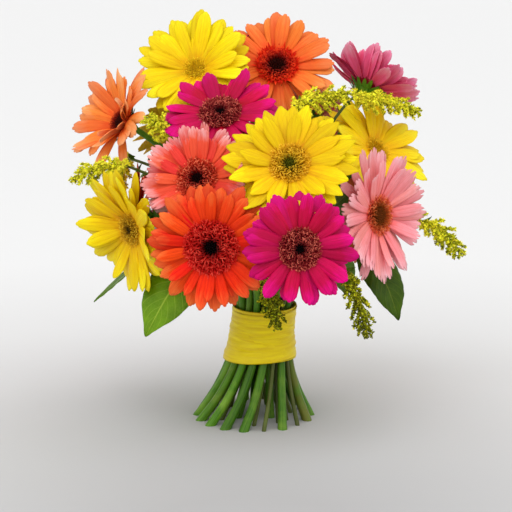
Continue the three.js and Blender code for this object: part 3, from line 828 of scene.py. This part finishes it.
def goldenrod(number, materials):
    """A stalk that ends in a nodding plume: side branches that arch over, each packed with small heads."""
    name = f"goldenrod_{number:02d}"
    chance = random.Random(name)
    line, found, reach = loft_line(name)
    first = next(i for i, r in enumerate(reach) if r > 1.6 * min(reach) and i > 3) - 1
    start = ring_shares(found)[first]  # where the plume begins
    line.taper(2.0, 0.6)
    shape = Shape()
    own = chance.uniform(0.2, 0.8)
    stalk(shape, line, 0.995, own, sides=10, ribs=5, steps=60, slot=3)
    plume = (1 - start) * line.length
    fullness = max(reach)
    ripe = mix(0.42, 0.85, smooth(line.at(mix(start, 1, 0.5))[0].z, 0.13, 0.2))  # the low sprays are greener
    branches = int(plume / (1.5 * MM))
    for k in range(branches):
        t = (k + 0.5) / branches
        spot, across, up, heading, _ = line.at(mix(start, 0.985, t))
        angle = k * GOLDEN_ANGLE + chance.uniform(-0.3, 0.3)
        out = spoke(across, up, angle)
        span = 0.45 + 1.65 * math.sin(math.pi * min(1, 0.16 + 0.84 * t)) ** 0.8
        branch(shape, spot, out, heading, fullness * span * chance.uniform(0.6, 1.15), t, ripe, chance)
    for k in range(5):  # narrow leaves up the stalk, below the plume
        spot, across, up, heading, radius = line.at(mix(start - 24 * MM / line.length, start + 0.02, k / 4))
        angle = k * GOLDEN_ANGLE
        out = spoke(across, up, angle)
        narrow_leaf(shape, spot + out * radius, out, heading, chance.uniform(9, 15) * MM, own)
    shape.build(name + "_spray", materials, [name])


def branch(shape, spot, out, heading, span, t, ripe, chance):
    """One side branch: it leaves the stalk forwards, arches over, and carries heads along its upper side. ripe
    is how far its heads have opened."""
    count = max(3, int(span / (0.75 * MM)))
    at = spot.copy()
    droop = Vector((0, 0, -1))
    for j in range(count):
        s = j / count
        way = (out * (1 - 0.3 * s) + heading * 0.75 + droop * 0.45 * s).normalized()
        at = at + way * span / count
        for _ in range(3):
            loose = Vector([chance.gauss(0, 1) for _ in range(3)]).normalized()
            grow = (way * 0.6 + loose * 0.9 + heading * 0.2).normalized()
            opened = min(1.0, max(0.0, chance.gauss(ripe - 0.3 * t, 0.22)))
            size = chance.uniform(0.8, 1.25) * mix(1.0, 0.75, t)
            bud(shape, at + grow * 0.5 * MM, grow, 2.0 * MM * size, 0.72 * MM * size, opened, chance.random())
    twig = [(spot.lerp(at, s), out.cross(heading).normalized(), heading, mix(0.35, 0.2, s) * MM) for s in (0, 0.5, 1)]
    tube(shape, twig, 4, lambda up, _: (0.1, 0.3, 0.2))


def narrow_leaf(shape, root, out, heading, length, own):
    """A small lance-shaped leaf that stands off the stalk and bends back."""
    side = out.cross(heading).normalized()
    rows, points, paint = 6, [], []
    for row in range(rows):
        t = row / (rows - 1)
        spine = root + out * length * 0.8 * t + heading * length * (0.7 * t - 0.5 * t * t)
        half = 2.0 * MM * math.sin(math.pi * (0.12 + 0.86 * t))
        points += ridge(spine, side * half, heading * -0.25 * MM)
        paint += [(0.0, 0.5, own)] * 3
    shape.add(points, grid_faces(rows, 3), paint, 2)


# Leaves ----------

LEAF_TONES = (0.5, 1.0, 0.0, 0.5, 0.7, 0.4, 0.85, 0.6)  # from dark to bright
LEAF_ROWS, LEAF_COLUMNS = 44, 21
VEINS = 9.0  # side veins up a blade
VEIN_SLANT = 2.6  # how far up a side vein climbs to the margin, in gaps between veins


def blade_place(line, found):
    """Where a leaf's blade begins on its line, its widest half width, and for each of its rings the share along
    the blade and the way across it."""
    pairs = [max(((p, q) for p in ring for q in ring), key=lambda pq: (pq[0] - pq[1]).length) for ring in found]
    widths = [(p - q).length for p, q in pairs]
    root = next(i for i, w in enumerate(widths) if w > 2.2 * min(widths[:8])) - 1
    start = ring_shares(found)[root]  # where the blade begins
    shares = [(share - start) / (1 - start) for share in ring_shares(found)[root:]]
    acrosses = []
    for p, q in pairs[root:]:
        across = (q - p).normalized()
        if acrosses and across.dot(acrosses[-1]) < 0:
            across = -across
        acrosses.append(across)
    acrosses[0] = acrosses[1]
    spot, _, _, heading, _ = line.at(mix(start, 1, 0.5))
    if acrosses[len(acrosses) // 2].cross(heading).dot(UP + Vector((spot.x, spot.y, 0)).normalized()) < 0:
        acrosses = [-across for across in acrosses]  # the upper side looks up and out
    return start, max(widths[root:]) / 2, shares, acrosses


def leaf(number, materials):
    """A stalk and a blade with a sunken midrib, wavy margins and a drawn-out tip."""
    name = f"leaf_{number:02d}"
    chance = random.Random(name)
    own = LEAF_TONES[number - 1]
    line, found, _ = loft_line(name)
    start, widest, shares, acrosses = blade_place(line, found)
    line.taper(2.0, 1.0)
    shape = Shape()
    stalk(shape, line, mix(start, 1, 0.12), own, sides=10, ribs=4, steps=50)
    shape.build(name + "_stalk", materials[:2], [])
    blade = Shape()
    points, paint = [], []
    wave = chance.uniform(0, 6.28)
    for row in range(LEAF_ROWS):
        t = row / (LEAF_ROWS - 1)
        spot, _, _, heading, _ = line.at(mix(start, 1.0, t))
        i = min(int(np.searchsorted(shares, t, side="right")) - 1, len(shares) - 2)
        f = (t - shares[i]) / (shares[i + 1] - shares[i])
        across = acrosses[i].lerp(acrosses[i + 1], f)
        across = (across - across.dot(heading) * heading).normalized()
        up = across.cross(heading).normalized()
        half = blade_half(t) * widest
        for column in range(LEAF_COLUMNS):
            c = 2 * column / (LEAF_COLUMNS - 1) - 1
            fold = 0.16 * half * abs(c) ** 1.3 + 0.35 * MM * (1 - math.exp(-((c / 0.09) ** 2)))
            rib = 0.28 * MM * math.cos(2 * math.pi * (VEINS * t - VEIN_SLANT * abs(c))) * min(1, 4 * abs(c))
            wavy = 1.2 * MM * math.sin(8 * t + wave + 1.3 * c) * abs(c) ** 2 * math.sin(math.pi * t)
            curl = -0.14 * half * abs(c) ** 4
            points.append(spot + across * half * c + up * (fold + rib + wavy + curl))
            paint.append((t, c, own))
    blade.add(points, grid_faces(LEAF_ROWS, LEAF_COLUMNS), paint)
    thicken(blade.build(name + "_blade", materials[2:], [name]), 0.5 * MM, under=1)


def blade_half(t):
    """A leaf's half width, as a share of the widest: full low down, and drawn out to a tip."""
    full = math.sin(math.pi * min(1.0, t) ** 0.72) ** 0.72 if 0 < t < 1 else 0.0
    return max(0.012, full * (1 - 0.25 * smooth(t, 0.7, 0.95)))


# Ribbon and twine ----------

RIBBON_WIDTH = 50 * MM
RIBBON_TURNS = 2.4
RIBBON_START = 300  # degrees round the bundle, so that the outer end lies at the back
RIBBON_THICKNESS = 0.3 * MM
RIBBON_STEP = 0.45 * MM  # how much further out each turn lies than the last
FOLD_HEIGHT = 0.75 * MM
TWINE_TURNS = 3
TWINE_LAY = 34  # radians that the strands turn about each other in one turn round the bundle
TWINE_STRAND = 0.32 * MM  # the radius of one strand
TWINE_CORE = 0.28 * MM  # from the twine's middle to a strand's


def sleeve(node):
    """The outer radius and middle of a sleeve at each height: (heights, radii, middles in x)."""
    by_height = {}
    for p in welded(node)[0]:
        by_height.setdefault(round(p.z, 5), []).append(p)
    heights = sorted(by_height)
    middles = [0.5 * (min(p.x for p in by_height[h]) + max(p.x for p in by_height[h])) for h in heights]
    radii = [max(p.x for p in by_height[h]) - m for h, m in zip(heights, middles)]
    return heights, radii, middles


def satin_folds(c, angle, turned):
    """The height of the ribbon's folds, which run round it aslant. c is the place across it from -1 to 1."""
    drift = noise.noise(Vector((math.cos(angle) * 1.2, math.sin(angle) * 1.2, c * 5 + turned)))
    slant = 0.9 * math.sin(angle + turned) + 0.5 * math.sin(2 * angle + 1.0)
    broad = 0.8 - 1.6 * abs(math.sin(3.6 * c + slant + 2.2 * drift + 1.7 * turned)) ** 0.7
    return broad + 0.25 * math.sin(19 * c - 0.7 * angle + 4 * drift)


def ribbon(material):
    """Satin wound round the bundle. Each turn lies on the last one, a little lower, and is drawn into folds."""
    heights, radii, middles = sleeve("ribbon_wrap")
    low, high = heights[0], heights[-1]
    rows, columns = 420, 41
    shape = Shape()
    points, paint = [], []
    for row in range(rows):
        along = row / (rows - 1)
        turned = RIBBON_TURNS * along
        angle = 2 * math.pi * turned + math.radians(RIBBON_START)
        shift = 3.0 * MM * math.sin(2 * math.pi * 0.42 * turned + 0.6) - 1.0 * MM
        squeeze = 1 - 0.05 * math.sin(2 * math.pi * turned * 0.8 + 1.0) ** 2
        for column in range(columns):
            c = 2 * column / (columns - 1) - 1
            z = 0.5 * (low + high) + 0.5 * RIBBON_WIDTH * c * squeeze * 0.92 + shift
            base = float(np.interp(z, heights, radii))
            x = float(np.interp(z, heights, middles))
            folds = satin_folds(c, angle, turned) * (1 - 0.5 * abs(c) ** 3)
            reach = base - 0.7 * MM + turned * RIBBON_STEP + FOLD_HEIGHT * folds
            points.append((x + reach * math.cos(angle), reach * math.sin(angle), z))
            paint.append((along, c, turned))
    shape.add(points, grid_faces(rows, columns), paint)
    middle_row = [Vector(points[row * columns + columns // 2]) for row in range(rows)]
    length = sum((b - a).length for a, b in zip(middle_row, middle_row[1:]))
    piece = shape.build("ribbon", [material], ["ribbon_wrap"])
    thicken(piece, RIBBON_THICKNESS)


def twine(material):
    """Turns of two-strand jute, under the ribbon."""
    heights, radii, middles = sleeve("binding_twine")
    low, high = heights[0], heights[-1]
    shape = Shape()
    for strand in (0, math.pi):
        stations = []
        steps = 90 * TWINE_TURNS
        for step in range(steps + 1):
            along = step / steps
            angle = 2 * math.pi * TWINE_TURNS * along
            z = mix(low, high, along * 0.8 + 0.1)
            reach = np.interp(z, heights, radii) - 0.7 * MM
            out = spoke(RIGHT, FORWARD, angle)
            twist = TWINE_LAY * angle / (2 * math.pi) + strand
            offset = TWINE_CORE * spoke(out, UP, twist)
            centre = Vector((np.interp(z, heights, middles), 0, z)) + out * reach + offset
            stations.append((centre, out, UP, TWINE_STRAND))
        tube(shape, stations, 6, lambda t, around: (t, around, 0.5))
    shape.build("twine", [material], ["binding_twine"])


# Stage ----------

CAMERA_AIM = Vector((0.0018, 0, 0.150))
CAMERA_DISTANCE = 1.6
CAMERA_LENS = 123.8
CAMERA_ELEVATION = math.radians(12)
FLOOR_RADIUS = 14
FLOOR_SIDES = 64


def floor():
    """A wide round floor that the feet stand on."""
    angles = np.linspace(0, 2 * math.pi, FLOOR_SIDES, endpoint=False)
    points = [(FLOOR_RADIUS * math.cos(a), FLOOR_RADIUS * math.sin(a), 0) for a in angles]
    mesh = bpy.data.meshes.new("floor")
    mesh.from_pydata(points, [], [tuple(range(FLOOR_SIDES))])
    mesh.materials.append(floor_material())
    piece = bpy.data.objects.new("floor", mesh)
    bpy.context.scene.collection.objects.link(piece)


def towards(azimuth, elevation):
    """A direction, in degrees. Azimuth 0 is +X and 270 is the front."""
    a, e = math.radians(azimuth), math.radians(elevation)
    return Vector((math.cos(e) * math.cos(a), math.cos(e) * math.sin(a), math.sin(e)))


def aimed(name, data, way, distance=0.0):
    """Adds a lamp or a camera that stands off along way and looks back along it."""
    piece = bpy.data.objects.new(name, data)
    piece.location = CAMERA_AIM + distance * way
    piece.rotation_euler = way.to_track_quat("Z", "Y").to_euler()
    bpy.context.scene.collection.objects.link(piece)
    return piece


def panel(name, azimuth, elevation, distance, size, power):
    """A soft square light."""
    lamp = bpy.data.lights.new(name, "AREA")
    lamp.shape = "SQUARE"
    lamp.size = size
    lamp.energy = power
    aimed(name, lamp, towards(azimuth, elevation), distance)


def sun(name, azimuth, elevation, width, power):
    """A sun whose disc is width degrees wide, so that its shadows are soft."""
    lamp = bpy.data.lights.new(name, "SUN")
    lamp.angle = math.radians(width)
    lamp.energy = power
    aimed(name, lamp, towards(azimuth, elevation))


def camera():
    """A long lens, a little above the bouquet and in front of it."""
    data = bpy.data.cameras.new("camera")
    data.sensor_width = 36
    data.lens = CAMERA_LENS
    way = Vector((0, -math.cos(CAMERA_ELEVATION), math.sin(CAMERA_ELEVATION)))
    bpy.context.scene.camera = aimed("camera", data, way, CAMERA_DISTANCE)


def stage():
    """The floor, the camera, three soft lights, and a world that is darker above than at its sides."""
    floor()
    camera()
    sun("key", 330, 56, 80, 1.08)
    sun("fill", 232, 38, 70, 0.9)
    panel("soft", 255, 62, 1.8, 1.0, 2)
    world = bpy.data.worlds.new("world")
    world.use_nodes = True
    tree = world.node_tree
    up = tree.nodes.new("ShaderNodeSeparateXYZ")
    sky = tree.nodes.new("ShaderNodeValToRGB")
    sky.color_ramp.elements[0].color = rgb(243, 243, 243)
    sky.color_ramp.elements[1].color = rgb(208, 208, 208)
    sky.color_ramp.elements[1].position = 0.5
    tree.links.new(tree.nodes.new("ShaderNodeTexCoord").outputs["Generated"], up.inputs[0])
    tree.links.new(up.outputs[2], sky.inputs[0])
    tree.links.new(sky.outputs[0], tree.nodes["Background"].inputs[0])
    scene = bpy.context.scene
    scene.world = world
    scene.view_settings.view_transform = "Standard"
    scene.view_settings.look = "None"


# Putting it together ----------


def bouquet():
    """Every piece, with the materials it wears."""
    stem = stem_material("stem_skin", rgb(90, 142, 24), rgb(58, 106, 12), rgb(146, 182, 58))
    cut = cut_material()
    wood = stem_material("woody_stalk", rgb(96, 118, 40), rgb(84, 82, 36), rgb(128, 140, 66))
    upper = leaf_material("leaf_upper", rgb(104, 146, 8), rgb(168, 192, 66), rgb(66, 104, 2), 0.34)
    lower = leaf_material("leaf_under", rgb(112, 152, 62), rgb(158, 186, 104), rgb(88, 128, 44), 0.55)
    buds = bud_material()
    skins, eyes = {}, {}
    for key, colours in COLOURS.items():
        values = [rgb(*colour) for colour in colours]
        skins[key] = [petal_material(f"petal_{key}", *values[:3]), petal_material(f"petal_{key}_under", *values[3:6])]
        eyes[key] = floret_material(f"florets_{key}", LOOKS[key]["core"], *values[6:])
    for number, key in enumerate(HEADS, 1):
        head = Head(number)
        petals(head, LOOKS[key], skins[key])
        eye(head, LOOKS[key], eyes[key])
        flower_stem(head, [stem, cut])
    for number in range(1, 10):
        goldenrod(number, [buds, cut, upper, wood])
    for number in range(1, 9):
        leaf(number, [wood, cut, upper, lower])
    twine(twine_material())
    ribbon(satin_material())


stage()
bouquet()
